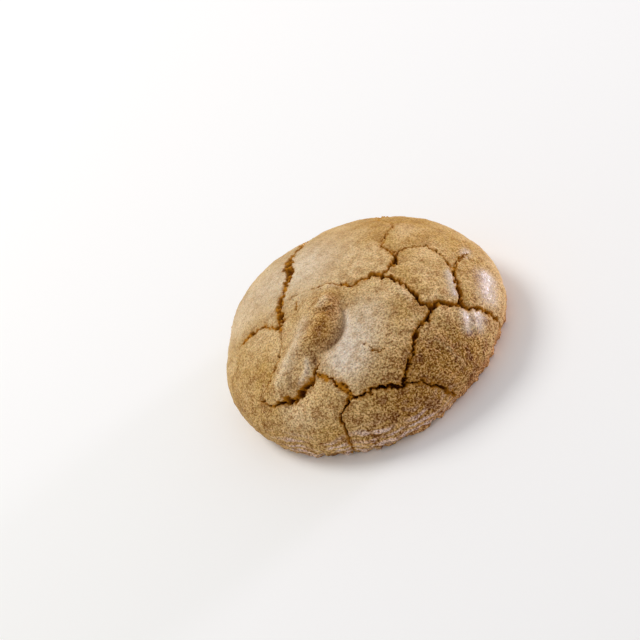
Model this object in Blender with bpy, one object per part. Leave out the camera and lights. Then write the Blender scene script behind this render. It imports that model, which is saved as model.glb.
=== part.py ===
"""Walnut cookie: one domed piece of nut dough with a flat underside and a crackled crust.

The crust is drawn laid flat, as a disc: its cracks are marked on it with their lips, and the
open crust between them is dotted evenly. The disc is joined into triangles, bent over the dome,
raised over the buried walnut, let down into the cracks, and closed underneath by a flat base.
"""

import math

import bmesh
import bpy
import numpy as np
from mathutils import Vector, geometry, noise

MM = 0.001

# Driving sizes, in millimetres.
WIDTH = 58.0
HEIGHT = 22.0
BASE_WIDTH = 54.4
# The dome is widest at this level, above its slightly tucked-in foot.
WIDEST_LEVEL = 5.0

# Spacing of the crust's points: along a crack, beside it, on the open crust and round the foot.
CRACK_STEP = 0.75
NEAR_SPACING = 0.8
OPEN_SPACING = 1.8
FOOT_POINTS = 140
# How much the spacing opens for each millimetre further from the nearest crack.
SPACING_GROWTH = 0.5
# Swellings that reach less far than this are dotted as closely as the crust beside a crack.
NARROW = 4.0
# Points closer together than this become one.
MERGE = 0.12

# Cracks stray this far from their routes, over this length, in a way that the seed fixes.
STRAY = 0.25
STRAY_LENGTH = 2.4
noise.seed_set(3)
# A crack's depth follows its gap, down to the softer dough under the crust.
DEPTH_FOR_GAP = 1.15
LEAST_DEPTH = 0.35
# The crust rolls into a crack over this distance beyond the gap.
LIP = 0.25
# The crust sags towards a crack by this drop, over this distance.
SAG_DROP = 0.3
SAG_REACH = 1.4

# The dough's unevenness: how far in or out it goes, and over what length.
UNEVENNESS = [(0.2, 10.0), (0.14, 3.6)]
# Only the foot's edge lies on the tray, and the rest of the crust starts this far above it.
FOOT_CLEARANCE = 0.1

CRUST_COLOUR = (0.50, 0.33, 0.16, 1.0)
CRUST_ROUGHNESS = 0.75

# Every route and swelling below is drawn on the crust laid flat: millimetres along the crust
# from the top of the dome, x to the right and y to the back. A crack's third number is its gap.
CRACKS = {
    "left_split": [
        (1.0, 37.0, 0.4), (0.0, 31.5, 0.8), (-2.0, 27.5, 1.0), (-1.0, 23.0, 1.0),
        (-3.0, 18.5, 1.0), (-6.0, 14.5, 1.3), (-7.0, 12.0, 1.8), (-7.0, 10.0, 1.4),
        (-8.5, 6.5, 0.9), (-10.0, 4.0, 0.8), (-12.0, 1.0, 1.3), (-13.0, -2.5, 1.1),
        (-14.0, -5.0, 0.7),
    ],
    "left_branch": [
        (-13.5, -4.5, 0.8), (-15.0, -3.5, 0.5), (-16.5, -1.0, 0.5), (-18.5, 0.5, 0.6),
        (-20.5, 1.5, 1.0), (-22.0, 1.5, 1.1), (-23.5, 2.0, 0.5),
    ],
    "walnut_edge": [
        (-16.0, -9.5, 0.5), (-18.0, -11.0, 0.7), (-20.0, -12.0, 0.7), (-22.5, -13.0, 0.4),
    ],
    "upper_split": [
        (-0.5, -3.0, 0.4), (1.5, -5.0, 0.9), (3.5, -5.5, 0.9), (5.0, -5.5, 1.0),
        (7.0, -5.0, 1.2), (8.5, -6.5, 1.3),
    ],
    "upper_fork": [
        (8.5, -6.5, 1.3), (9.5, -5.5, 1.0), (11.0, -4.5, 1.0), (12.5, -3.0, 1.0),
        (12.5, -0.5, 0.7), (11.5, 1.5, 0.5), (12.0, 4.5, 0.5), (14.5, 7.5, 0.4),
        (16.0, 11.0, 0.4), (14.0, 15.5, 0.4), (15.5, 20.0, 0.7), (13.0, 24.5, 1.0),
        (15.0, 29.0, 0.9), (14.0, 35.0, 0.4),
    ],
    "back_plate_edge": [
        (12.5, -3.0, 0.9), (15.0, -0.5, 0.6), (18.5, -1.0, 0.5), (20.0, -1.0, 0.5),
        (21.5, -5.0, 0.5), (22.5, -8.5, 0.7),
    ],
    "middle_split": [
        (8.5, -6.5, 1.3), (10.5, -8.5, 1.0), (11.5, -10.5, 0.9), (12.5, -13.0, 1.2),
        (12.8, -15.5, 1.3), (14.0, -17.3, 1.4),
    ],
    "right_split": [
        (14.0, -17.3, 1.4), (16.0, -16.7, 1.0), (18.8, -17.5, 0.9), (22.0, -18.7, 0.9),
        (25.0, -18.9, 1.1), (28.0, -19.6, 1.1), (30.5, -20.0, 0.9), (34.5, -21.3, 0.4),
    ],
    "right_upright": [
        (20.5, -18.5, 1.0), (21.5, -14.5, 1.2), (22.0, -11.0, 1.0), (22.5, -9.0, 0.9),
        (24.0, -7.0, 0.8), (27.0, -3.5, 0.4),
    ],
    "long_split": [
        (14.0, -17.3, 1.4), (13.2, -19.2, 1.0), (10.8, -20.5, 0.9), (9.0, -22.1, 0.9),
        (7.2, -24.0, 0.9), (5.5, -26.4, 0.9), (2.0, -30.0, 1.1),
    ],
    "front_split": [
        (2.0, -30.0, 1.1), (-0.5, -29.0, 1.4), (-3.5, -28.0, 1.0), (-7.0, -27.5, 0.9),
        (-8.0, -26.5, 1.0),
    ],
    "front_fork": [
        (-8.0, -26.5, 1.0), (-9.0, -23.5, 0.8), (-11.0, -20.5, 0.9), (-12.0, -18.5, 0.8),
    ],
    "front_foot_split": [
        (-8.0, -26.5, 1.0), (-10.5, -27.5, 0.9), (-13.0, -29.0, 0.9), (-14.5, -32.0, 0.9),
        (-16.5, -35.5, 0.9), (-19.0, -37.5, 0.8),
    ],
    "walnut_foot": [
        (-10.5, -17.5, 0.4), (-13.0, -19.0, 0.9), (-16.0, -19.0, 1.3), (-19.0, -19.5, 1.5),
        (-20.5, -18.5, 1.3), (-23.0, -17.0, 0.8), (-26.0, -13.5, 0.4),
    ],
    "right_foot_split": [
        (2.0, -30.0, 1.1), (5.5, -30.5, 0.5), (8.0, -32.0, 0.9), (9.5, -32.5, 0.9),
        (11.0, -34.5, 1.0), (14.0, -36.5, 0.5),
    ],
    "back_left_split": [
        (-1.0, 23.0, 1.0), (-6.0, 25.5, 0.8), (-11.0, 25.0, 1.0), (-16.0, 27.5, 0.9),
        (-21.0, 28.0, 0.4),
    ],
    "back_right_split": [
        (15.5, 20.0, 1.0), (20.5, 20.5, 0.8), (24.5, 18.0, 0.9), (29.0, 19.0, 0.4),
    ],
    "back_cross_split": [
        (-2.0, 27.5, 1.0), (3.0, 26.0, 0.8), (8.0, 27.0, 0.8), (13.0, 24.5, 1.1),
    ],
    "far_left_split": [
        (-23.5, 17.0, 0.4), (-27.0, 16.0, 0.9), (-29.0, 11.0, 0.8), (-33.0, 8.0, 0.4),
    ],
}

# Swellings: lines of crust lifted by the walnut under them, sunk beside it, or pressed in and
# out where the cookie isn't quite round. Each has its reach to either side and its route, whose
# third number is the height, negative where sunk.
SWELLINGS = {
    "buried_walnut": (3.5, [(-3.8, -6.0, 1.0), (-6.5, -10.0, 1.6), (-10.3, -12.6, 1.2)]),
    "walnut_right_side": (1.8, [(-2.5, -8.0, 0.4), (-4.6, -11.0, 0.8), (-7.5, -13.4, 0.8)]),
    "walnut_tail": (2.1, [
        (-12.2, -13.0, 0.7), (-15.2, -13.5, 0.8), (-18.3, -15.0, 0.9), (-21.0, -15.9, 0.7),
    ]),
    "fold_beside_walnut": (1.5, [
        (-0.5, -8.5, -0.5), (-1.8, -11.8, -1.0), (-3.8, -14.0, -1.3), (-6.8, -15.4, -1.3),
        (-9.4, -16.0, -0.8),
    ]),
    "hollow_below_walnut": (2.2, [(-15.0, -20.0, -0.6), (-20.5, -19.5, -0.8)]),
    "hump_on_main_plate": (3.8, [(-6.5, -24.0, 0.7), (-3.0, -23.5, 1.0), (1.0, -22.5, 0.5)]),
    "left_shoulder": (6.0, [(-20.0, 18.0, 0.5), (-10.0, 22.5, 0.5)]),
    "left_flat": (5.0, [(-32.0, 8.0, -0.3), (-28.0, 12.0, -0.3)]),
    "right_bulge": (7.0, [(36.0, -2.0, 0.45), (36.5, -10.0, 0.45)]),
    "right_foot_flat": (7.0, [(33.0, -26.0, -0.3), (22.0, -36.0, -0.4)]),
    "front_foot_bulge": (6.0, [(-3.0, -41.0, 0.3), (-12.0, -40.0, 0.3)]),
}


def dome_section():
    """The half section, top to foot: distance along the crust, radius and level."""
    rise = np.linspace(math.pi / 2, 0.0, 200)
    radius = WIDTH / 2 * np.cos(rise)
    level = WIDEST_LEVEL + (HEIGHT - WIDEST_LEVEL) * np.sin(rise)
    below = np.linspace(WIDEST_LEVEL, 0.0, 40)[1:]
    tuck = (WIDTH - BASE_WIDTH) / 2 * (1 - below / WIDEST_LEVEL) ** 2
    radius = np.append(radius, WIDTH / 2 - tuck)
    level = np.append(level, below)
    steps = np.hypot(np.diff(radius), np.diff(level))
    return np.append(0.0, np.cumsum(steps)), radius, level


ALONG, RADIUS, LEVEL = dome_section()
CRUST_REACH = ALONG[-1]


def smooth_route(waypoints):
    """A route's waypoints joined by a smooth curve, sampled at an even step."""
    points = np.array(waypoints, float)
    padded = np.vstack([2 * points[0] - points[1], points, 2 * points[-1] - points[-2]])
    curve = []
    for a, b, c, d in zip(padded, padded[1:], padded[2:], padded[3:]):
        for t in np.linspace(0, 1, 20, endpoint=False):
            curve.append(
                b + 0.5 * t * (c - a)
                + t**2 * (a - 2.5 * b + 2 * c - 0.5 * d)
                + t**3 * (1.5 * (b - c) + 0.5 * (d - a))
            )
    curve = np.array(curve + [points[-1]])
    run = np.append(0.0, np.cumsum(np.linalg.norm(np.diff(curve[:, :2], axis=0), axis=1)))
    even = np.linspace(0, run[-1], max(2, round(run[-1] / CRACK_STEP)) + 1)
    return np.column_stack([np.interp(even, run, curve[:, k]) for k in range(3)])


def crack_route(waypoints):
    """A crack's route, straying a little as it tears through the crust."""
    route = smooth_route(waypoints)
    for station in route:
        stray = noise.noise_vector(Vector((*station[:2], 0.0)) / STRAY_LENGTH)
        station[:2] += STRAY * np.array(stray[:2])
    return route


ROUTES = [crack_route(waypoints) for waypoints in CRACKS.values()]


def nearest(flat, route):
    """Each place's distance from a route, and the route's third number where it is closest."""
    start = route[:-1, :2]
    piece = route[1:, :2] - start
    toward = flat[:, None, :] - start[None, :, :]
    share = np.clip((toward * piece).sum(axis=2) / (piece**2).sum(axis=1), 0, 1)
    reach = np.linalg.norm(toward - share[:, :, None] * piece, axis=2)
    closest = reach.argmin(axis=1)
    rows = np.arange(len(flat))
    third = route[closest, 2] + share[rows, closest] * np.diff(route[:, 2])[closest]
    return reach[rows, closest], third


def room_beside_cracks(flat):
    """Each place's distance beyond the lip of the nearest crack, negative inside it."""
    room = np.full(len(flat), np.inf)
    for route in ROUTES:
        reach, gap = nearest(flat, route)
        room = np.minimum(room, reach - gap / 2 - LIP)
    return room


def crack_fall(flat):
    """How far the crust falls into the cracks and sags towards them."""
    fall = np.zeros(len(flat))
    for route in ROUTES:
        reach, gap = nearest(flat, route)
        across = np.clip(reach / (gap / 2 + LIP), 0, 1)
        fall = np.maximum(fall, (LEAST_DEPTH + DEPTH_FOR_GAP * gap) * (1 - across**1.5))
    beyond = np.maximum(room_beside_cracks(flat), 0)
    return fall + SAG_DROP * np.exp(-((beyond / SAG_REACH) ** 2))


def unevenness(dome):
    """How far hand-shaped dough stands in or out at points of the dome."""
    total = np.zeros(len(dome))
    for height, length in UNEVENNESS:
        total += [height * noise.noise(Vector(place) / length) for place in dome]
    return total


def swelling(flat):
    """How far the crust stands out over the walnut and sinks beside it."""
    total = np.zeros(len(flat))
    for reach, waypoints in SWELLINGS.values():
        distance, height = nearest(flat, smooth_route(waypoints))
        total += height * np.exp(-((distance / reach) ** 2))
    return total


def crack_lines():
    """The lines to mark on the flat crust: every crack's middle, and its lips where clear."""
    lines = []
    for route in ROUTES:
        lines.append(route[:, :2])
        heading = np.gradient(route[:, :2], axis=0)
        heading /= np.linalg.norm(heading, axis=1)[:, None]
        across = np.column_stack([-heading[:, 1], heading[:, 0]])
        half = (route[:, 2] / 2 + LIP)[:, None]
        for side in (-1, 1):
            lip = (route[:, :2] + side * half * across)[1:-1]
            clear = room_beside_cracks(lip) > -MERGE
            ends = np.flatnonzero(np.diff(clear)) + 1
            stretches = zip(np.split(lip, ends), np.split(clear, ends))
            lines += [stretch for stretch, kept in stretches if kept[0]]
    return lines


def room_beside_swellings(flat):
    """Each place's distance beyond the reach of the nearest narrow swelling."""
    room = np.full(len(flat), np.inf)
    for reach, waypoints in SWELLINGS.values():
        if reach < NARROW:
            room = np.minimum(room, nearest(flat, smooth_route(waypoints))[0] - reach)
    return room


def spread_points(taken):
    """Points dotted over the open crust, close together by cracks and narrow swellings."""
    grid = np.arange(-CRUST_REACH, CRUST_REACH, NEAR_SPACING / 2)
    x, y = np.meshgrid(grid, grid)
    places = np.column_stack([x.ravel(), y.ravel()])
    places = places[np.hypot(places[:, 0], places[:, 1]) < CRUST_REACH - NEAR_SPACING]
    room = room_beside_cracks(places)
    detail = np.minimum(room, room_beside_swellings(places))
    wanted = NEAR_SPACING + SPACING_GROWTH * (detail - NEAR_SPACING)
    wanted = np.clip(wanted, NEAR_SPACING, OPEN_SPACING)
    order = np.random.default_rng(7).permutation(np.flatnonzero(room > NEAR_SPACING / 2))
    points = np.vstack([taken, places[order]])
    count = len(taken)
    for place, apart in zip(places[order], wanted[order]):
        if np.hypot(*(points[:count] - place).T).min() > apart:
            points[count] = place
            count += 1
    return points[len(taken):count]


def flat_crust():
    """The crust laid flat as triangles, with the cracks and their lips among its edges."""
    turns = np.arange(FOOT_POINTS) * 2 * math.pi / FOOT_POINTS
    points = [CRUST_REACH * np.column_stack([np.cos(turns), np.sin(turns)])]
    edges = [(i, (i + 1) % FOOT_POINTS) for i in range(FOOT_POINTS)]
    count = FOOT_POINTS
    for line in crack_lines():
        points.append(line)
        edges += [(count + i, count + i + 1) for i in range(len(line) - 1)]
        count += len(line)
    points.append(spread_points(np.vstack(points)))
    places = [Vector(point) for point in np.vstack(points)]
    joined = geometry.delaunay_2d_cdt(places, edges, [], 0, MERGE)
    return np.array([tuple(place) for place in joined[0]]), joined[2]


def bend_over_dome(flat):
    """The smooth dome's points and outward directions for places on the flat crust."""
    along = np.hypot(flat[:, 0], flat[:, 1])
    turn = flat / np.maximum(along, MERGE)[:, None]
    radius = np.interp(along, ALONG, RADIUS)
    level = np.interp(along, ALONG, LEVEL)
    run = np.interp(along, ALONG, np.gradient(RADIUS, ALONG))
    fall = -np.interp(along, ALONG, np.gradient(LEVEL, ALONG))
    dome = np.column_stack([radius[:, None] * turn, level])
    out = np.column_stack([fall[:, None] * turn, run])
    return dome, out / np.linalg.norm(out, axis=1)[:, None]


def crust_surface(flat):
    """The real crust's points for places on the flat crust, centred over the origin."""
    dome, out = bend_over_dome(flat)
    # At the foot the crust ends on the tray, so there it only moves sideways.
    at_foot = np.hypot(flat[:, 0], flat[:, 1]) > CRUST_REACH - MERGE
    out[at_foot, 2] = 0.0
    lift = swelling(flat) + unevenness(dome) - crack_fall(flat)
    surface = dome + lift[:, None] * out
    surface[:, 2] = np.where(at_foot, 0.0, np.maximum(surface[:, 2], FOOT_CLEARANCE))
    middle = (surface.min(axis=0) + surface.max(axis=0)) / 2
    surface[:, :2] -= middle[:2]
    return surface


def crust_material():
    material = bpy.data.materials.new("baked_crust")
    material.use_nodes = True
    surface = material.node_tree.nodes["Principled BSDF"]
    surface.inputs["Base Color"].default_value = CRUST_COLOUR
    surface.inputs["Roughness"].default_value = CRUST_ROUGHNESS
    surface.inputs["Metallic"].default_value = 0.0
    return material


def add_cookie():
    """The whole cookie: its crust over a flat base, as one closed solid."""
    flat, triangles = flat_crust()
    mesh = bmesh.new()
    vertices = [mesh.verts.new(place * MM) for place in crust_surface(flat)]
    for triangle in triangles:
        mesh.faces.new([vertices[i] for i in triangle])
    foot = [edge for edge in mesh.edges if edge.is_boundary]
    bmesh.ops.holes_fill(mesh, edges=foot, sides=0)
    bmesh.ops.recalc_face_normals(mesh, faces=mesh.faces)
    data = bpy.data.meshes.new("walnut_cookie")
    mesh.to_mesh(data)
    mesh.free()
    data.materials.append(crust_material())
    data.shade_smooth()
    data.set_sharp_from_angle(angle=math.radians(50))
    cookie = bpy.data.objects.new("walnut_cookie", data)
    bpy.context.scene.collection.objects.link(cookie)


for existing in list(bpy.data.objects):
    bpy.data.objects.remove(existing)
add_cookie()
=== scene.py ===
"""Walnut cookie: the looks of one domed cookie of nut dough with a crackled crust."""

import math

import bpy
import numpy as np
from mathutils import Matrix, Vector, noise


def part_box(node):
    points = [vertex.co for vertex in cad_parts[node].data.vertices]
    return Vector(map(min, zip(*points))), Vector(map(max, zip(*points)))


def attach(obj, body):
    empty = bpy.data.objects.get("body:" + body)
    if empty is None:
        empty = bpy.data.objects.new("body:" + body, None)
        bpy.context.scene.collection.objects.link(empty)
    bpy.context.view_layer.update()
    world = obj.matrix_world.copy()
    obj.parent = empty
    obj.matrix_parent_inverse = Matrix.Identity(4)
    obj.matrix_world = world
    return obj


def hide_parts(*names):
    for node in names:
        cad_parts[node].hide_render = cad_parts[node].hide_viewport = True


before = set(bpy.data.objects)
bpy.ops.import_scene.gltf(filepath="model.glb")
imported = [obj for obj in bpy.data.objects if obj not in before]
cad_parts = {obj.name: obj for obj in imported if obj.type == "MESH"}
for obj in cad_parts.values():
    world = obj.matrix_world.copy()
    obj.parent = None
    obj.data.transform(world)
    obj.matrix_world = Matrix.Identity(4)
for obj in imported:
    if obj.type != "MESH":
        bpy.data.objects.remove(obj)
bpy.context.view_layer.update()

# The cookie
# A ball of short nut dough that sank to a dome on its baking tray and split as it rose. A dry,
# sandy crust broke into plates, a piece of walnut pushes up under it, and softer orange-brown
# crumb shows in the splits. It is one piece, and it replaces the plain faceted solid.
MM = 0.001
COOKIE_NODE = "walnut_cookie"

# The smooth dome before anything moved its crust, in millimetres.
WIDTH = 58.0
HEIGHT = 22.0
BASE_WIDTH = 54.4
WIDEST_LEVEL = 5.0
# The ball's polar angle, in degrees, that becomes the edge of the flat underside.
FOOT_ANGLE = 112.0
# The way the cookie's best side faces. The mesh is finer where it faces that way by this share,
# and this near to a crack.
FRONT = np.array([0.0, -0.79, 0.62])
FRONT_SHARE = 0.43
NEAR_CRACK = 0.4

# Every route below is drawn on the crust laid flat: millimetres along the crust from the top of
# the dome, x to the right and y to the back. A crack's third number is its gap.
CRACKS = {
    "left_split": [
        (1.0, 37.0, 0.4), (0.0, 31.5, 0.8), (-2.0, 27.5, 1.0), (-1.0, 23.0, 1.0),
        (-3.0, 18.5, 1.0), (-6.0, 14.5, 1.3), (-7.0, 12.0, 1.8), (-7.0, 10.0, 1.4),
        (-8.5, 6.5, 0.9), (-10.0, 4.0, 0.8), (-12.0, 1.0, 1.3), (-13.0, -2.5, 1.1),
        (-14.0, -5.0, 0.7),
    ],
    "left_branch": [
        (-13.5, -4.5, 0.8), (-15.0, -3.5, 0.5), (-16.5, -1.0, 0.5), (-18.5, 0.5, 0.6),
        (-20.5, 1.5, 1.0), (-22.0, 1.5, 1.1), (-23.5, 2.0, 0.5),
    ],
    "walnut_edge": [
        (-16.0, -9.5, 0.5), (-18.0, -11.0, 0.7), (-20.0, -12.0, 0.7), (-22.5, -13.0, 0.4),
    ],
    "upper_split": [
        (-0.5, -3.0, 0.4), (1.5, -5.0, 0.9), (3.5, -5.5, 0.9), (5.0, -5.5, 1.0),
        (7.0, -5.0, 1.2), (8.5, -6.5, 1.3),
    ],
    "upper_fork": [
        (8.5, -6.5, 1.3), (9.5, -5.5, 1.0), (11.0, -4.5, 1.0), (12.5, -3.0, 1.0),
        (12.5, -0.5, 0.7), (11.5, 1.5, 0.5), (12.0, 4.5, 0.5), (14.5, 7.5, 0.4),
        (16.0, 11.0, 0.4), (14.0, 15.5, 0.4), (15.5, 20.0, 0.7), (13.0, 24.5, 1.0),
        (15.0, 29.0, 0.9), (14.0, 35.0, 0.4),
    ],
    "back_plate_edge": [
        (12.5, -3.0, 0.9), (15.0, -0.5, 0.6), (18.5, -1.0, 0.5), (20.0, -1.0, 0.5),
        (21.5, -5.0, 0.5), (22.5, -8.5, 0.7),
    ],
    "middle_split": [
        (8.5, -6.5, 1.3), (10.5, -8.5, 1.0), (11.5, -10.5, 0.9), (12.5, -13.0, 1.2),
        (12.8, -15.5, 1.3), (14.0, -17.3, 1.4),
    ],
    "right_split": [
        (14.0, -17.3, 1.4), (16.0, -16.7, 1.0), (18.8, -17.5, 0.9), (22.0, -18.7, 0.9),
        (25.0, -18.9, 1.1), (28.0, -19.6, 1.1), (30.5, -20.0, 0.9), (34.5, -21.3, 0.4),
    ],
    "right_upright": [
        (20.5, -18.5, 1.0), (21.5, -14.5, 1.2), (22.0, -11.0, 1.0), (22.5, -9.0, 0.9),
        (24.0, -7.0, 0.8), (27.0, -3.5, 0.4),
    ],
    "long_split": [
        (14.0, -17.3, 1.4), (13.2, -19.2, 1.0), (10.8, -20.5, 0.9), (9.0, -22.1, 0.9),
        (7.2, -24.0, 0.9), (5.5, -26.4, 0.9), (2.0, -30.0, 1.1),
    ],
    "front_split": [
        (2.0, -30.0, 1.1), (-0.5, -29.0, 1.4), (-3.5, -28.0, 1.0), (-7.0, -27.5, 0.9),
        (-8.0, -26.5, 1.0),
    ],
    "front_fork": [
        (-8.0, -26.5, 1.0), (-9.0, -23.5, 0.8), (-11.0, -20.5, 0.9), (-12.0, -18.5, 0.8),
    ],
    "front_foot_split": [
        (-8.0, -26.5, 1.0), (-10.5, -27.5, 0.9), (-13.0, -29.0, 0.9), (-14.5, -32.0, 0.9),
        (-16.5, -35.5, 0.9), (-19.0, -37.5, 0.8),
    ],
    "walnut_foot": [
        (-10.5, -17.5, 0.4), (-13.0, -19.0, 0.9), (-16.0, -19.0, 1.3), (-19.0, -19.5, 1.5),
        (-20.5, -18.5, 1.3), (-23.0, -17.0, 0.8), (-26.0, -13.5, 0.4),
    ],
    "right_foot_split": [
        (2.0, -30.0, 1.1), (5.5, -30.5, 0.5), (8.0, -32.0, 0.9), (9.5, -32.5, 0.9),
        (11.0, -34.5, 1.0), (14.0, -36.5, 0.5),
    ],
    "back_left_split": [
        (-1.0, 23.0, 1.0), (-6.0, 25.5, 0.8), (-11.0, 25.0, 1.0), (-16.0, 27.5, 0.9),
        (-21.0, 28.0, 0.4),
    ],
    "back_right_split": [
        (15.5, 20.0, 1.0), (20.5, 20.5, 0.8), (24.5, 18.0, 0.9), (29.0, 19.0, 0.4),
    ],
    "back_cross_split": [
        (-2.0, 27.5, 1.0), (3.0, 26.0, 0.8), (8.0, 27.0, 0.8), (13.0, 24.5, 1.1),
    ],
    "far_left_split": [
        (-23.5, 17.0, 0.4), (-27.0, 16.0, 0.9), (-29.0, 11.0, 0.8), (-33.0, 8.0, 0.4),
    ],
}
# How far each crack is open, as shares of its gap and of its depth: crumbled edges widen a few,
# and crumb fills part of the rest.
OPEN_SHARE = {
    "left_split": (1.4, 0.55), "left_branch": (1.1, 0.5), "walnut_edge": (0.7, 0.5),
    "upper_split": (0.95, 0.6), "upper_fork": (1.0, 0.55), "back_plate_edge": (0.9, 0.6),
    "middle_split": (0.9, 0.9), "right_split": (1.05, 0.75), "right_upright": (0.9, 0.8),
    "long_split": (1.0, 1.0), "front_split": (0.85, 1.0), "front_fork": (1.2, 0.35),
    "front_foot_split": (0.85, 0.8), "walnut_foot": (1.1, 0.8), "right_foot_split": (1.1, 1.0),
}
USUAL_OPEN_SHARE = (0.9, 0.7)
# Hairlines, too fine to have opened, and how deep they are.
HAIRLINE_DEPTH = 0.4
HAIRLINES = {
    "left_twig": [(-9.5, 0.5, 0.35), (-7.5, 0.0, 0.35)],
    "chip_by_left_twig": [(-8.6, -1.8, 0.4), (-9.2, -2.6, 0.5), (-9.3, -3.6, 0.35)],
    "upper_tail": [(-4.5, -1.0, 0.3), (-2.5, -2.0, 0.4), (-0.5, -3.0, 0.45)],
    "left_seam": [(-14.0, -5.0, 0.35), (-15.0, -8.5, 0.3), (-16.0, -9.5, 0.35)],
    "front_twig": [(-1.0, -19.0, 0.35), (1.0, -22.5, 0.35), (2.5, -22.0, 0.3)],
    "right_seam": [(12.5, -23.0, 0.3), (14.0, -26.0, 0.3), (17.5, -29.5, 0.3)],
    "right_twig": [(26.7, -3.6, 0.35), (27.5, -5.6, 0.35), (28.8, -6.8, 0.3)],
}
# Lines of crust lifted by the walnut, sunk beside it, or pressed in and out where the cookie
# isn't quite round: the reach to either side, and the route with its height.
SWELLINGS = {
    "buried_walnut": (3.5, [(-3.8, -6.0, 1.0), (-6.5, -10.0, 1.6), (-10.3, -12.6, 1.2)]),
    "walnut_right_side": (1.8, [(-2.5, -8.0, 0.4), (-4.6, -11.0, 0.8), (-7.5, -13.4, 0.8)]),
    "walnut_tail": (2.1, [
        (-12.2, -13.0, 0.7), (-15.2, -13.5, 0.8), (-18.3, -15.0, 0.9), (-21.0, -15.9, 0.7),
    ]),
    "fold_beside_walnut": (1.5, [
        (-0.5, -8.5, -0.5), (-1.8, -11.8, -1.0), (-3.8, -14.0, -1.3), (-6.8, -15.4, -1.3),
        (-9.4, -16.0, -0.8),
    ]),
    "hollow_below_walnut": (2.2, [(-15.0, -20.0, -0.6), (-20.5, -19.5, -0.8)]),
    "hump_on_main_plate": (3.8, [(-6.5, -24.0, 0.7), (-3.0, -23.5, 1.0), (1.0, -22.5, 0.5)]),
    "left_shoulder": (6.0, [(-20.0, 18.0, 0.5), (-10.0, 22.5, 0.5)]),
    "left_flat": (5.0, [(-32.0, 8.0, -0.3), (-28.0, 12.0, -0.3)]),
    "right_bulge": (7.0, [(36.0, -2.0, 0.45), (36.5, -10.0, 0.45)]),
    "right_foot_flat": (7.0, [(33.0, -26.0, -0.3), (22.0, -36.0, -0.4)]),
    "front_foot_bulge": (6.0, [(-3.0, -41.0, 0.3), (-12.0, -40.0, 0.3)]),
}
# Finer forms of the same kind: the walnut's knob and its creases, and lips that curled up where
# the crust tore.
FINE_SWELLINGS = {
    "walnut_knob": (0.9, [(-3.4, -6.8, 0.55), (-4.6, -7.8, 0.55)]),
    "groove_under_knob": (0.45, [(-5.8, -8.2, -0.35), (-4.8, -9.5, -0.5), (-3.0, -9.6, -0.4)]),
    "ridge_on_tail": (1.0, [(-12.0, -12.2, 0.2), (-16.0, -13.2, 0.4), (-19.5, -14.8, 0.3)]),
    "crease_beside_walnut": (0.45, [
        (-1.2, -9.6, -0.15), (-2.2, -12.2, -0.35), (-4.0, -14.3, -0.45), (-6.4, -15.3, -0.4),
        (-9.0, -15.6, -0.3),
    ]),
    "groove_beside_tail": (0.4, [
        (-14.9, -14.4, -0.2), (-16.2, -15.5, -0.35), (-18.2, -17.2, -0.35),
    ]),
    # This fold's paleness is a painted sheen.
    "fold_with_painted_sheen": (0.7, [(-11.9, -15.6, 0.3), (-13.2, -17.2, 0.45), (-15.8, -18.0, 0.3)]),
    "crease_below_walnut": (0.5, [
        (-10.3, -14.7, -0.3), (-10.8, -16.5, -0.5), (-11.6, -17.6, -0.4),
    ]),
    "dents_on_walnut": (0.8, [(-8.6, -9.8, -0.2), (-10.8, -11.0, -0.25)]),
    "dent_left_of_walnut": (1.0, [(-15.5, -13.5, -0.3), (-18.0, -14.0, -0.25)]),
    "lip_left_of_right_upright": (0.7, [
        (21.0, -7.0, 0.1), (20.8, -11.0, 0.3), (20.4, -13.5, 0.3), (19.6, -16.5, 0.15),
    ]),
    "lip_left_of_middle_split": (0.6, [(9.5, -9.5, 0.1), (10.5, -12.0, 0.25), (11.0, -14.5, 0.2)]),
    "lip_below_upper_tail": (0.6, [(-3.0, -3.0, 0.1), (-1.0, -3.8, 0.3), (0.3, -4.6, 0.15)]),
    "ridge_below_right_split": (0.9, [(20.0, -19.6, 0.4), (19.0, -23.3, 0.45)]),
    "bump_at_right_split": (1.3, [(22.6, -20.6, 0.4), (22.0, -22.4, 0.45)]),
    "fold_on_right_plate": (0.6, [(12.6, -23.8, 0.2), (14.8, -27.2, 0.25), (17.0, -30.0, 0.15)]),
}
# A form has faded out at this many times its reach.
FADED_OUT = 3
# Where the crust baked browner, each with its reach: the side of the walnut that faces down, the
# foot, which met more of the tray's heat, and a patch behind the top.
TOASTED = (2.6, [(-3.2, -7.0, 0.7), (-4.6, -10.6, 0.95), (-6.9, -13.0, 1.0), (-9.8, -14.2, 0.6)])
BROWNED = {
    "right_foot": (7.0, [(27.0, -27.0, 0.45), (14.0, -30.0, 1.3), (6.0, -34.0, 0.9)]),
    "front": (5.0, [(2.0, -34.0, 0.8), (-8.0, -35.0, 0.4)]),
    "above_front_split": (3.0, [(3.0, -25.5, 0.45), (9.0, -25.0, 0.4)]),
    "left_foot": (6.0, [(-31.0, -13.0, 0.2), (-31.0, -9.0, 0.4)]),
    "top": (8.0, [(2.0, 24.0, 0.2), (18.0, 12.0, 0.3)]),
}
# Where it stayed pale, and, on the walnut's left, painted light on the side that faces the light.
PALE_AND_PAINTED_LIGHT = {
    "top_left": (10.0, [(-20.0, 12.0, 0.55), (-5.0, 8.0, 0.85)]),
    "main_plate": (4.8, [(2.0, -14.0, 0.7), (-4.5, -19.5, 1.5)]),
    # Painted light on the lit side of the walnut.
    "painted_light_on_walnut_left": (2.0, [(-9.5, -8.5, 0.5), (-13.0, -12.0, 0.6), (-17.0, -13.5, 0.5)]),
    "low_left": (4.0, [(-27.0, -18.0, 0.1), (-21.0, -23.0, 0.25)]),
}
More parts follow.
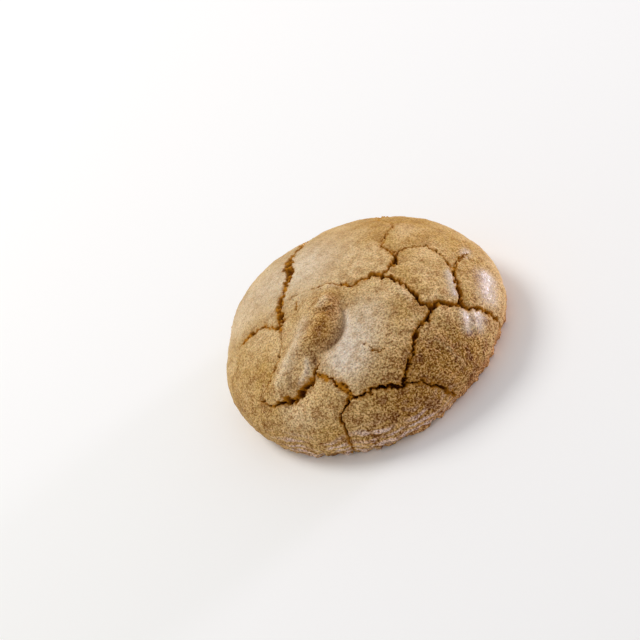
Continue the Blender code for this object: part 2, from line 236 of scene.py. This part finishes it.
# Where fat dried to a faint glaze: a clear coat and smoother grain, with a pale painted sheen laid
# over the colour.
GLAZED_AND_PAINTED_SHEEN = {
    "right_shoulder": (2.2, [(29.6, -10.5, 1.0), (28.2, -15.5, 1.0)]),
    "right_lip": (0.9, [(20.8, -10.0, 0.9), (20.0, -15.5, 0.9)]),
    "below_right_split": (1.0, [(20.7, -20.0, 1.0), (20.0, -23.3, 0.9)]),
    "at_right_split": (1.6, [(23.8, -20.6, 1.0), (23.2, -22.6, 0.9)]),
    "fold": (0.8, [(-1.0, -11.0, 0.5), (-1.8, -13.2, 0.9), (-3.0, -15.2, 0.6)]),
    "fold_with_painted_sheen": (0.6, [(-12.2, -16.0, 0.5), (-13.4, -17.3, 0.5), (-15.8, -18.0, 0.4)]),
    "main_plate": (2.2, [(-4.0, -17.5, 0.5), (-6.0, -20.0, 0.5)]),
    "beside_right_upright": (1.0, [(26.5, -4.5, 0.8), (27.5, -2.5, 0.6)]),
}

# Cracks stray this far from their routes, over this length, in a way that the seed fixes, and
# their edges crumble more finely.
STRAY = 0.25
STRAY_LENGTH = 2.4
SEED = 3
noise.seed_set(SEED)
CRUMBLING = [(0.55, 1.7), (0.5, 0.75), (0.25, 0.35)]
# Every route is followed in steps of about this length.
ROUTE_STEP = 0.75
# A crack's wall drops sheer through the crust, by this share of its depth and over this run, and
# then slopes to its floor.
SHEER_SHARE = 0.3
SHEER_RUN = 0.16
# The depth that every crack has, and what each millimetre of its gap adds.
LEAST_DEPTH = 0.35
DEPTH_FOR_GAP = 1.15
# A crack wider than the first measure starts to look torn and crumbly, and the second measure
# wider it fully does. Its crumb stays at least the third below the crust.
TORN_FROM = 0.25
TORN_OVER = 0.35
LEAST_FALL = 0.2
# How far the crust sags beside such a crack, and how far from it the crust sags and is torn.
SAG_DROP = 0.22
SAG_REACH = 1.4
TORN_REACH = 0.5
# The dough's unevenness, from its slow bulges to its crumbs: height and length.
UNEVENNESS = [(0.2, 10.0), (0.14, 3.6)]
SANDINESS = [(0.23, 1.9), (0.17, 0.85), (0.2, 0.45)]
# The share of the sandiness that shows at a place before the top, what it loses for each
# millimetre to the back and where the crust is pale, what it gains where it is toasted or
# browned, the least of it, and what a glaze smooths away.
COARSENESS = 0.6
COARSENESS_Y = -10.0
FINER_TO_BACK = 0.013
PALE_FINER = 0.25
TOASTED_COARSER = 0.3
BROWNED_COARSER = 0.25
LEAST_COARSENESS = 0.3
GLAZE_SMOOTHS = 0.5
# Crumb in the cracks, and on the torn edges beside them.
CRACK_CRUMB = [(1.4, 1.1), (0.8, 0.5)]
EDGE_CRUMB = [(0.45, 0.7)]
# Thin folds round the foot, where the dome slumped: height and spacing, how far the crests
# outweigh the grooves, how the folds wander and break up and how much stays whole, and their top
# and how softly they end there.
FOLD_HEIGHT = 0.2
FOLD_SPACING = 1.8
FOLD_CRESTS = 0.4
FOLD_WANDER = [(2.0, 9.0), (1.0, 3.6), (0.3, 1.0)]
FOLD_BREAKS = [(1.6, 5.0)]
FOLD_WHOLE = 0.8
FOLD_TOP = 8.5
FOLD_FADE = 3.0
FOLDED = {"front": (8.0, [(-28.0, -28.0, 0.9), (-14.0, -37.0, 1.0), (4.0, -38.0, 0.8)])}
# The ragged rim where the foot met the tray, and how far up it goes.
RIM = [(0.9, 2.2), (0.6, 0.9)]
RIM_TOP = 3.0
# The last of the crust, this wide, lies on the tray, and all the rest stays this far above it.
FOOT_EDGE = 0.05
LEAST_LEVEL = 0.02
# Faces that meet more sharply than this angle, in degrees, keep a sharp edge.
SHARP_ANGLE = 70.0


def dome_section():
    """The half section, top to foot: distance along the crust, radius and level."""
    rise = np.linspace(math.pi / 2, 0.0, 200)
    radius = WIDTH / 2 * np.cos(rise)
    level = WIDEST_LEVEL + (HEIGHT - WIDEST_LEVEL) * np.sin(rise)
    below = np.linspace(WIDEST_LEVEL, 0.0, 40)[1:]
    tuck = (WIDTH - BASE_WIDTH) / 2 * (1 - below / WIDEST_LEVEL) ** 2
    radius = np.append(radius, WIDTH / 2 - tuck)
    level = np.append(level, below)
    steps = np.hypot(np.diff(radius), np.diff(level))
    return np.append(0.0, np.cumsum(steps)), radius, level


ALONG, RADIUS, LEVEL = dome_section()
CRUST_REACH = ALONG[-1]


def smooth_route(waypoints):
    """A route's waypoints joined by a smooth curve, sampled at an even step."""
    points = np.array(waypoints, float)
    padded = np.vstack([2 * points[0] - points[1], points, 2 * points[-1] - points[-2]])
    curve = []
    for a, b, c, d in zip(padded, padded[1:], padded[2:], padded[3:]):
        for t in np.linspace(0, 1, 20, endpoint=False):
            curve.append(
                b + 0.5 * t * (c - a)
                + t**2 * (a - 2.5 * b + 2 * c - 0.5 * d)
                + t**3 * (1.5 * (b - c) + 0.5 * (d - a))
            )
    curve = np.array(curve + [points[-1]])
    run = np.append(0.0, np.cumsum(np.linalg.norm(np.diff(curve[:, :2], axis=0), axis=1)))
    even = np.linspace(0, run[-1], max(2, round(run[-1] / ROUTE_STEP)) + 1)
    return np.column_stack([np.interp(even, run, curve[:, k]) for k in range(3)])


def crack_route(waypoints, gap_share=1.0, depth_share=1.0, sheer_depth=None):
    """A crack's straying route, with its gap and its depth."""
    route = smooth_route(waypoints)
    for station in route:
        stray = noise.noise_vector(Vector((*station[:2], 0.0)) / STRAY_LENGTH)
        station[:2] += STRAY * np.array(stray[:2])
    depth = sheer_depth or (LEAST_DEPTH + DEPTH_FOR_GAP * route[:, 2]) * depth_share
    return np.column_stack([route[:, :2], route[:, 2] * gap_share, depth + 0 * route[:, 2]])


def nearest(flat, routes, at_once=3000):
    """Each place's distance beyond the edge of the nearest route, and the route's values there."""
    starts = np.vstack([route[:-1] for route in routes])
    pieces = np.vstack([np.diff(route, axis=0) for route in routes])
    square = (pieces[:, :2] ** 2).sum(axis=1)
    found = np.empty((len(flat), starts.shape[1] - 1))
    for part in np.array_split(np.arange(len(flat)), len(flat) // at_once + 1):
        toward = flat[part, None, :] - starts[None, :, :2]
        share = np.clip((toward * pieces[:, :2]).sum(axis=2) / square, 0, 1)
        reach = np.linalg.norm(toward - share[:, :, None] * pieces[:, :2], axis=2)
        margin = reach - (starts[:, 2] + share * pieces[:, 2]) / 2
        closest = margin.argmin(axis=1)
        rows = np.arange(len(part))
        values = starts[closest, 2:] + share[rows, closest, None] * pieces[closest, 2:]
        found[part] = np.column_stack([margin[rows, closest], values])
    return found.T


def bumps(places, layers):
    """Layers of smooth noise at places in space, each with its height and length."""
    total = np.zeros(len(places))
    for height, length in layers:
        total += [height * noise.noise(Vector(place) / length) for place in places]
    return total


def along_routes(flat, marks):
    """The heights of named routes at each place, each fading over its own reach."""
    total = np.zeros(len(flat))
    for reach, waypoints in marks.values():
        route = smooth_route(waypoints)
        near = np.abs(flat - route[:, :2].mean(axis=0)).max(axis=1)
        near = near < FADED_OUT * reach + np.ptp(route[:, :2], axis=0).max()
        thin = np.column_stack([route[:, :2], 0 * route[:, 2], route[:, 2]])
        distance, _, height = nearest(flat[near], [thin])
        total[near] += height * np.exp(-((distance / reach) ** 2))
    return total


def bend_over_dome(flat):
    """The smooth dome's points and outward directions for places on the flat crust."""
    along = np.hypot(flat[:, 0], flat[:, 1])
    turn = flat / np.maximum(along, 1e-6)[:, None]
    dome = np.column_stack([
        np.interp(along, ALONG, RADIUS)[:, None] * turn, np.interp(along, ALONG, LEVEL)
    ])
    run = np.interp(along, ALONG, np.gradient(RADIUS, ALONG))
    fall = -np.interp(along, ALONG, np.gradient(LEVEL, ALONG))
    outward = np.column_stack([fall[:, None] * turn, run])
    return dome, outward / np.linalg.norm(outward, axis=1)[:, None]


def lay_flat(mesh):
    """Each vertex of the ball as a place on the crust laid flat."""
    ball = np.empty(len(mesh.vertices) * 3)
    mesh.vertices.foreach_get("co", ball)
    ball = ball.reshape(-1, 3)
    ball /= np.linalg.norm(ball, axis=1)[:, None]
    polar = np.degrees(np.arccos(np.clip(ball[:, 2], -1, 1)))
    along = np.minimum(polar / FOOT_ANGLE, 1.0) * CRUST_REACH
    turn = np.arctan2(ball[:, 1], ball[:, 0])
    return along[:, None] * np.column_stack([np.cos(turn), np.sin(turn)])


def quarter_faces(mesh, routes, within, front_share=math.inf):
    """Splits into four each triangle that is near a crack or that faces the front enough."""
    flat = lay_flat(mesh)
    chosen = np.zeros(len(mesh.polygons), bool)
    triangles = np.array([p.index for p in mesh.polygons if p.loop_total == 3])
    corners = np.array([tuple(mesh.polygons[int(i)].vertices) for i in triangles])
    middle = flat[corners].mean(axis=1)
    to_front = bend_over_dome(middle)[1] @ FRONT
    chosen[triangles] = (nearest(middle, routes)[0] < within) | (to_front > front_share)
    mesh.polygons.foreach_set("select", chosen)
    bpy.ops.object.mode_set(mode="EDIT")
    bpy.ops.mesh.subdivide(number_cuts=1, ngon=False)
    bpy.ops.mesh.select_all(action="DESELECT")
    bpy.ops.mesh.select_face_by_sides(number=4, type="EQUAL")
    bpy.ops.mesh.quads_convert_to_tris()
    bpy.ops.mesh.select_all(action="DESELECT")
    bpy.ops.object.mode_set(mode="OBJECT")


crack_routes = []
for name, waypoints in CRACKS.items():
    crack_routes.append(crack_route(waypoints, *OPEN_SHARE.get(name, USUAL_OPEN_SHARE)))
for waypoints in HAIRLINES.values():
    crack_routes.append(crack_route(waypoints, sheer_depth=HAIRLINE_DEPTH))

bpy.ops.object.select_all(action="DESELECT")
bpy.ops.mesh.primitive_ico_sphere_add(subdivisions=7, radius=1.0)
cookie = bpy.context.object
cookie.name = "cookie"
mesh = cookie.data
mesh.name = "cookie"
bpy.context.tool_settings.mesh_select_mode = (False, False, True)
bpy.ops.object.mode_set(mode="EDIT")
bpy.ops.mesh.select_all(action="SELECT")
bpy.ops.mesh.bisect(
    plane_co=(0, 0, math.cos(math.radians(FOOT_ANGLE))), plane_no=(0, 0, 1),
    use_fill=True, clear_inner=True, threshold=1e-5,
)
bpy.ops.mesh.select_all(action="DESELECT")
bpy.ops.object.mode_set(mode="OBJECT")
quarter_faces(mesh, crack_routes, NEAR_CRACK, FRONT_SHARE)
quarter_faces(mesh, crack_routes, within=0.0)

flat = lay_flat(mesh)
dome, outward = bend_over_dome(flat)
level = dome[:, 2]

# Cracks, measured from crumbled places so that their edges are ragged.
ragged = flat.copy()
for height, length in CRUMBLING:
    shifts = [noise.noise_vector(Vector(place) / length) for place in dome]
    ragged += height * np.array(shifts)[:, :2]
edge, gap, depth = nearest(ragged, crack_routes)


def ease(share):
    """A share from 0 to 1 that starts and ends softly."""
    share = np.clip(share, 0, 1)
    return share**2 * (3 - 2 * share)


inside = np.maximum(-edge, 0)
beyond = np.maximum(edge, 0)
sheer = ease(inside / SHEER_RUN)
slope = ease(inside / np.maximum(gap / 2, SHEER_RUN))
opened = ease((gap - TORN_FROM) / TORN_OVER)
crack_fall = depth * (SHEER_SHARE * sheer + (1 - SHEER_SHARE) * slope)
crack_fall += opened * sheer * bumps(dome, CRACK_CRUMB)
crack_fall = np.maximum(crack_fall, LEAST_FALL * sheer)
crack_fall += SAG_DROP * opened * np.exp(-((beyond / SAG_REACH) ** 2))
torn = opened * np.exp(-((beyond / TORN_REACH) ** 2)) * (1 - sheer)

toasted = along_routes(flat, {"walnut": TOASTED})
browned = np.clip(along_routes(flat, BROWNED), 0, 1)
# The glaze gives a clear coat and smoother grain, and its colour is a painted sheen.
glaze_and_painted_sheen = np.clip(along_routes(flat, GLAZED_AND_PAINTED_SHEEN), 0, 1) * (1 - sheer)
# Pale crust, and painted light on the walnut's left.
pale_and_painted_light = np.clip(along_routes(flat, PALE_AND_PAINTED_LIGHT), 0, 1) * (1 - browned)
coarse = COARSENESS - FINER_TO_BACK * (flat[:, 1] - COARSENESS_Y)
coarse = coarse - PALE_FINER * pale_and_painted_light + TOASTED_COARSER * toasted + BROWNED_COARSER * browned
coarse = np.clip(coarse, LEAST_COARSENESS, 1.0)
whole = np.clip(FOLD_WHOLE + bumps(dome, FOLD_BREAKS), 0, 1)
folds = ease((FOLD_TOP - level) / FOLD_FADE) * whole
folds *= np.clip(along_routes(flat, FOLDED), 0, 1)
wave = np.sin((level + bumps(dome, FOLD_WANDER)) / FOLD_SPACING * 2 * math.pi)
folds *= FOLD_CRESTS + wave
rim = ease((RIM_TOP - level) / RIM_TOP)
sandy = coarse * (1 - GLAZE_SMOOTHS * glaze_and_painted_sheen)
lift = bumps(dome, UNEVENNESS) + sandy * bumps(dome, SANDINESS)
lift += torn * bumps(dome, EDGE_CRUMB) + FOLD_HEIGHT * folds
lift += rim * bumps(dome, RIM)
fine = along_routes(flat, FINE_SWELLINGS)
lift += along_routes(flat, SWELLINGS) + fine - crack_fall
at_foot = np.hypot(flat[:, 0], flat[:, 1]) > CRUST_REACH - FOOT_EDGE
outward[at_foot, 2] = 0.0
surface = dome + lift[:, None] * outward
surface[:, 2] = np.where(at_foot, 0.0, np.maximum(surface[:, 2], LEAST_LEVEL))
low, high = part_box(COOKIE_NODE)
middle = (surface.min(axis=0) + surface.max(axis=0)) / 2
surface[:, :2] += ((np.array(low) + np.array(high)) / 2 / MM - middle)[:2]
mesh.vertices.foreach_set("co", (surface * MM).ravel())
mesh.update()
mesh.shade_smooth()
mesh.set_sharp_from_angle(angle=math.radians(SHARP_ANGLE))

# What the material shows of the shape: the depth at which a crack's painted shade is darkest, how
# far its colour stains the crust beside it and the share of that at a hairline, and the height or
# depth at which a lip's painted highlight or a crease's painted shade is clearest.
DARKEST_DEPTH = 1.6
STAIN_REACH = 0.25
HAIRLINE_STAIN = 0.35
CLEAREST = 0.4
CREASE_NARROWING = 1.5
# The brown of the foot: its strength at the tray and how far up it fades, and its strength at the
# middle and how far to the right it grows.
FOOT_AT_TRAY = 1.35
FOOT_FADE = 3.2
FOOT_AT_MIDDLE = 0.6
FOOT_ACROSS = 40.0


def keep_measure(name, values):
    """Keeps a value for each vertex, for the material to read."""
    layer = mesh.attributes.new(name, "FLOAT", "POINT")
    layer.data.foreach_set("value", np.asarray(values, np.float32))


keep_measure("crack_depth", np.clip(crack_fall / DARKEST_DEPTH, 0, 1) * sheer)
stain = HAIRLINE_STAIN + (1 - HAIRLINE_STAIN) * opened
keep_measure("crack_edge", np.exp(-((beyond / STAIN_REACH) ** 2)) * stain)
# For the painted shade in creases.
keep_measure("crease_painted_shade", np.clip(-fine / CLEAREST, 0, 1) ** CREASE_NARROWING)
# For the painted highlight on lips.
keep_measure("lip_painted_highlight", np.clip(fine / CLEAREST, 0, 1))
keep_measure("toast", toasted)
keep_measure("browned", browned)
keep_measure("pale_and_painted_light", pale_and_painted_light)
keep_measure("coarse", coarse)
keep_measure("glaze_and_painted_sheen", glaze_and_painted_sheen)
across = ease(FOOT_AT_MIDDLE + flat[:, 0] / FOOT_ACROSS)
keep_measure("foot", ease(FOOT_AT_TRAY - level / FOOT_FADE) * across)
# For the painted highlight on the fold crests and the painted shade in their grooves.
keep_measure("fold", folds)


def linear(hex_colour):
    """An sRGB hex colour as a linear colour with full alpha."""
    parts = [int(hex_colour[i:i + 2], 16) / 255 for i in (1, 3, 5)]
    return [p / 12.92 if p <= 0.04045 else ((p + 0.055) / 1.055) ** 2.4 for p in parts] + [1.0]


def add_node(tree, kind, inputs=(), **settings):
    """Adds a shader node with its settings, and its inputs as values or links."""
    made = tree.nodes.new("ShaderNode" + kind)
    for name, value in settings.items():
        setattr(made, name, value)
    for socket, value in dict(inputs).items():
        if isinstance(value, bpy.types.NodeSocket):
            tree.links.new(value, made.inputs[socket])
        else:
            made.inputs[socket].default_value = value
    return made


# Baked nut dough: a dry, sandy golden crust with a faint fat sheen, freckled by the walnut's
# skin. It is browner where it baked longest, and orange-brown and crumbly in the splits.
CRUST_LIGHT = "#D5B47E"
CRUST_DARK = "#BC944E"
# The tints laid over the crust in turn: the measure that each follows, its share and its colour.
TINTS = [
    ("pale_and_painted_light", 0.88, "#E1D0B8"),
    # Pale crust, and painted light on the walnut's left.
    ("browned", 1.0, "#A4752A"),
    ("toast", 1.0, "#B28236"),
    ("foot", 1.0, "#C8945A"),
    # A painted highlight on raised lips, knobs and ridges.
    ("lip_painted_highlight", 0.45, "#E2CFAE"),
    # Painted shade in creases and grooves.
    ("crease_painted_shade", 0.55, "#87551E"),
]
# What the dark clumps and grains leave of the crust's colour, and what the light grains add.
CLUMP_SHADE = "#BE9E6C"
GRAIN_SHADE = "#9A6C34"
GRAIN_GLINT = "#A08A6C"
FRECKLE = "#6A4412"
# Painted highlight on the crests of the folds round the foot, and painted shade in their grooves.
FOLD_PAINTED_HIGHLIGHT = "#DEC8C6"
FOLD_PAINTED_SHADE = "#86602E"
# The glaze's pale colour is a painted sheen, laid on by this share.
PAINTED_GLAZE_SHEEN = "#CEC4BE"
PAINTED_GLAZE_SHEEN_SHARE = 0.45
SPLIT_EDGE = "#B98438"
SPLIT_WALL = "#B07418"
# Painted shade, deep in a crack.
SPLIT_FLOOR_PAINTED_SHADE = "#6A3606"
# The sizes of the blotches, clumps, grains and freckles, and the height of the grains.
BLOTCH_MM = 9.0
MOTTLE_MM = 2.1
GRAIN_MM = 0.37
FRECKLE_MM = 1.1
GRAIN_HEIGHT_MM = 0.2

dough = bpy.data.materials.new("baked_nut_dough")
dough.use_nodes = True
tree = dough.node_tree
tree.nodes.clear()
place = add_node(tree, "TexCoord").outputs["Object"]


def grain(size_mm, detail, roughness=0.5):
    """Noise whose features are about a size in millimetres."""
    inputs = {
        "Vector": place, "Scale": 1 / (size_mm * MM), "Detail": detail, "Roughness": roughness,
    }
    return add_node(tree, "TexNoise", inputs).outputs["Fac"]


def measure(name):
    """A value that the mesh keeps for each vertex."""
    return add_node(tree, "Attribute", attribute_name=name).outputs["Fac"]


def band(value, low, high, bottom=0.0, top=1.0):
    """A value spread so that low becomes bottom and high becomes top, held there beyond them."""
    inputs = {"Value": value, "From Min": low, "From Max": high, "To Min": bottom, "To Max": top}
    return add_node(tree, "MapRange", inputs, clamp=True).outputs["Result"]


def blend(share, first, second, kind="MIX"):
    """Mixes, multiplies or adds two colours by a share, each a hex colour or a socket."""
    first, second = [linear(c) if isinstance(c, str) else c for c in (first, second)]
    inputs = {0: share, 6: first, 7: second}
    return add_node(tree, "Mix", inputs, data_type="RGBA", blend_type=kind).outputs[2]


def times(first, second):
    """Two values multiplied, each a number or a socket."""
    return add_node(tree, "Math", {0: first, 1: second}, operation="MULTIPLY").outputs[0]


sand = grain(GRAIN_MM, 2, 0.7)
clumps = grain(MOTTLE_MM, 3, 0.6)
coarse_share = measure("coarse")
colour = blend(band(grain(BLOTCH_MM, 3), 0.38, 0.62), CRUST_DARK, CRUST_LIGHT)
for name, share, tint in TINTS:
    colour = blend(times(measure(name), share), colour, tint)
# Painted highlight on the fold crests and painted shade in the fold grooves.
colour = blend(band(measure("fold"), 0.0, 0.8, 0.0, 0.7), colour, FOLD_PAINTED_HIGHLIGHT)
colour = blend(band(measure("fold"), -0.1, -0.6, 0.0, 0.6), colour, FOLD_PAINTED_SHADE)
clump_share = times(band(clumps, 0.52, 0.38, 0.0, 0.95), coarse_share)
colour = blend(clump_share, colour, CLUMP_SHADE, "MULTIPLY")
dark_share = times(band(sand, 0.5, 0.36), coarse_share)
colour = blend(dark_share, colour, GRAIN_SHADE, "MULTIPLY")
light_share = times(band(sand, 0.5, 0.62), coarse_share)
colour = blend(light_share, colour, GRAIN_GLINT, "ADD")
dots = add_node(tree, "TexVoronoi", {"Vector": place, "Scale": 1 / (FRECKLE_MM * MM)})
shown = add_node(tree, "SeparateColor", {0: dots.outputs["Color"]}).outputs[0]
freckles = times(band(dots.outputs["Distance"], 0.17, 0.08), band(shown, 0.4, 0.7, 0.0, 0.75))
colour = blend(freckles, colour, FRECKLE)
# The pale painted sheen of the glaze.
colour = blend(times(measure("glaze_and_painted_sheen"), PAINTED_GLAZE_SHEEN_SHARE), colour, PAINTED_GLAZE_SHEEN)
colour = blend(band(measure("crack_edge"), 0.0, 1.0, 0.0, 0.55), colour, SPLIT_EDGE)
colour = blend(band(measure("crack_depth"), 0.02, 0.25), colour, SPLIT_WALL)
# Painted shade deep in the cracks.
colour = blend(band(measure("crack_depth"), 0.35, 1.0), colour, SPLIT_FLOOR_PAINTED_SHADE)
bump_inputs = {
    "Strength": band(measure("glaze_and_painted_sheen"), 0.0, 1.0, 1.0, 0.45),
    "Distance": GRAIN_HEIGHT_MM * MM, "Height": sand,
}
bumpy = add_node(tree, "Bump", bump_inputs).outputs["Normal"]
shader_inputs = {
    "Base Color": colour, "Roughness": 0.6, "Normal": bumpy, "IOR": 1.45,
    "Specular IOR Level": 0.08,
    "Coat Weight": measure("glaze_and_painted_sheen"), "Coat Roughness": 0.2, "Coat Normal": bumpy,
    "Subsurface Weight": 0.15, "Subsurface Radius": (1.0, 0.45, 0.2), "Subsurface Scale": MM,
}
shader = add_node(tree, "BsdfPrincipled", shader_inputs)
add_node(tree, "OutputMaterial", {"Surface": shader.outputs[0]})
mesh.materials.append(dough)

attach(cookie, "root")
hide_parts(COOKIE_NODE)

# The table
# A plain near-white surface just under the cookie, which isn't part of it.
TABLE_WIDTH = 3.0
TABLE_LEVEL = -0.0001
bpy.ops.object.select_all(action="DESELECT")
bpy.ops.mesh.primitive_plane_add(size=TABLE_WIDTH, location=(0, 0, TABLE_LEVEL))
table = bpy.context.object
table.name = "table"
white = bpy.data.materials.new("matt_white_board")
white.use_nodes = True
board = white.node_tree.nodes["Principled BSDF"]
board.inputs["Base Color"].default_value = linear("#F8F7F5")
board.inputs["Roughness"].default_value = 0.9
table.data.materials.append(white)

# The camera
# It looks down at the cookie from the front, turned about its own axis as the photograph's was.
ELEVATION = 38.0
ROLL = 28.3
DISTANCE = 0.4
AIM_LEVEL = 0.009
PHOTO_WIDTH = 640
FOCAL_PIXELS = 2030.0
AIM_PIXEL = (357.6, 321.1)
SENSOR = 36.0

camera_data = bpy.data.cameras.new("camera")
camera = bpy.data.objects.new("camera", camera_data)
bpy.context.scene.collection.objects.link(camera)
bpy.context.scene.camera = camera
camera_data.sensor_width = SENSOR
camera_data.lens = FOCAL_PIXELS * SENSOR / PHOTO_WIDTH
camera_data.shift_x = (PHOTO_WIDTH / 2 - AIM_PIXEL[0]) / PHOTO_WIDTH
camera_data.shift_y = (AIM_PIXEL[1] - PHOTO_WIDTH / 2) / PHOTO_WIDTH
tilt = math.radians(90 - ELEVATION)
turned = Matrix.Rotation(tilt, 4, "X") @ Matrix.Rotation(math.radians(-ROLL), 4, "Z")
back = Vector((0, -math.cos(math.radians(ELEVATION)), math.sin(math.radians(ELEVATION))))
camera.matrix_world = Matrix.Translation(Vector((0, 0, AIM_LEVEL)) + DISTANCE * back) @ turned


# The light
# A wide soft light behind the cookie's left, a lower one at the right that gives the crust its
# sheen, and an even white surround.
def add_light(name, azimuth, elevation, distance, width, watts, colour):
    """A round soft light aimed at the cookie, its azimuth turning from the front to the right."""
    data = bpy.data.lights.new(name, "AREA")
    data.shape = "DISK"
    data.size = width
    data.energy = watts
    data.color = linear(colour)[:3]
    lamp = bpy.data.objects.new(name, data)
    bpy.context.scene.collection.objects.link(lamp)
    around, up = math.radians(azimuth), math.radians(elevation)
    out = math.cos(up)
    toward = Vector((out * math.sin(around), -out * math.cos(around), math.sin(up)))
    lamp.location = distance * toward
    lamp.rotation_euler = toward.to_track_quat("Z", "Y").to_euler()


add_light(
    "key_softbox", azimuth=218, elevation=50, distance=0.8, width=0.35, watts=3.1,
    colour="#FCFBF8",
)
add_light(
    "right_window", azimuth=104, elevation=5, distance=0.6, width=0.14, watts=2.2,
    colour="#F0E8FF",
)
world = bpy.data.worlds.new("white_room")
world.use_nodes = True
surround = world.node_tree.nodes["Background"]
surround.inputs["Color"].default_value = linear("#F6F6F8")
surround.inputs["Strength"].default_value = 0.64
bpy.context.scene.world = world
bpy.context.scene.view_settings.view_transform = "Standard"
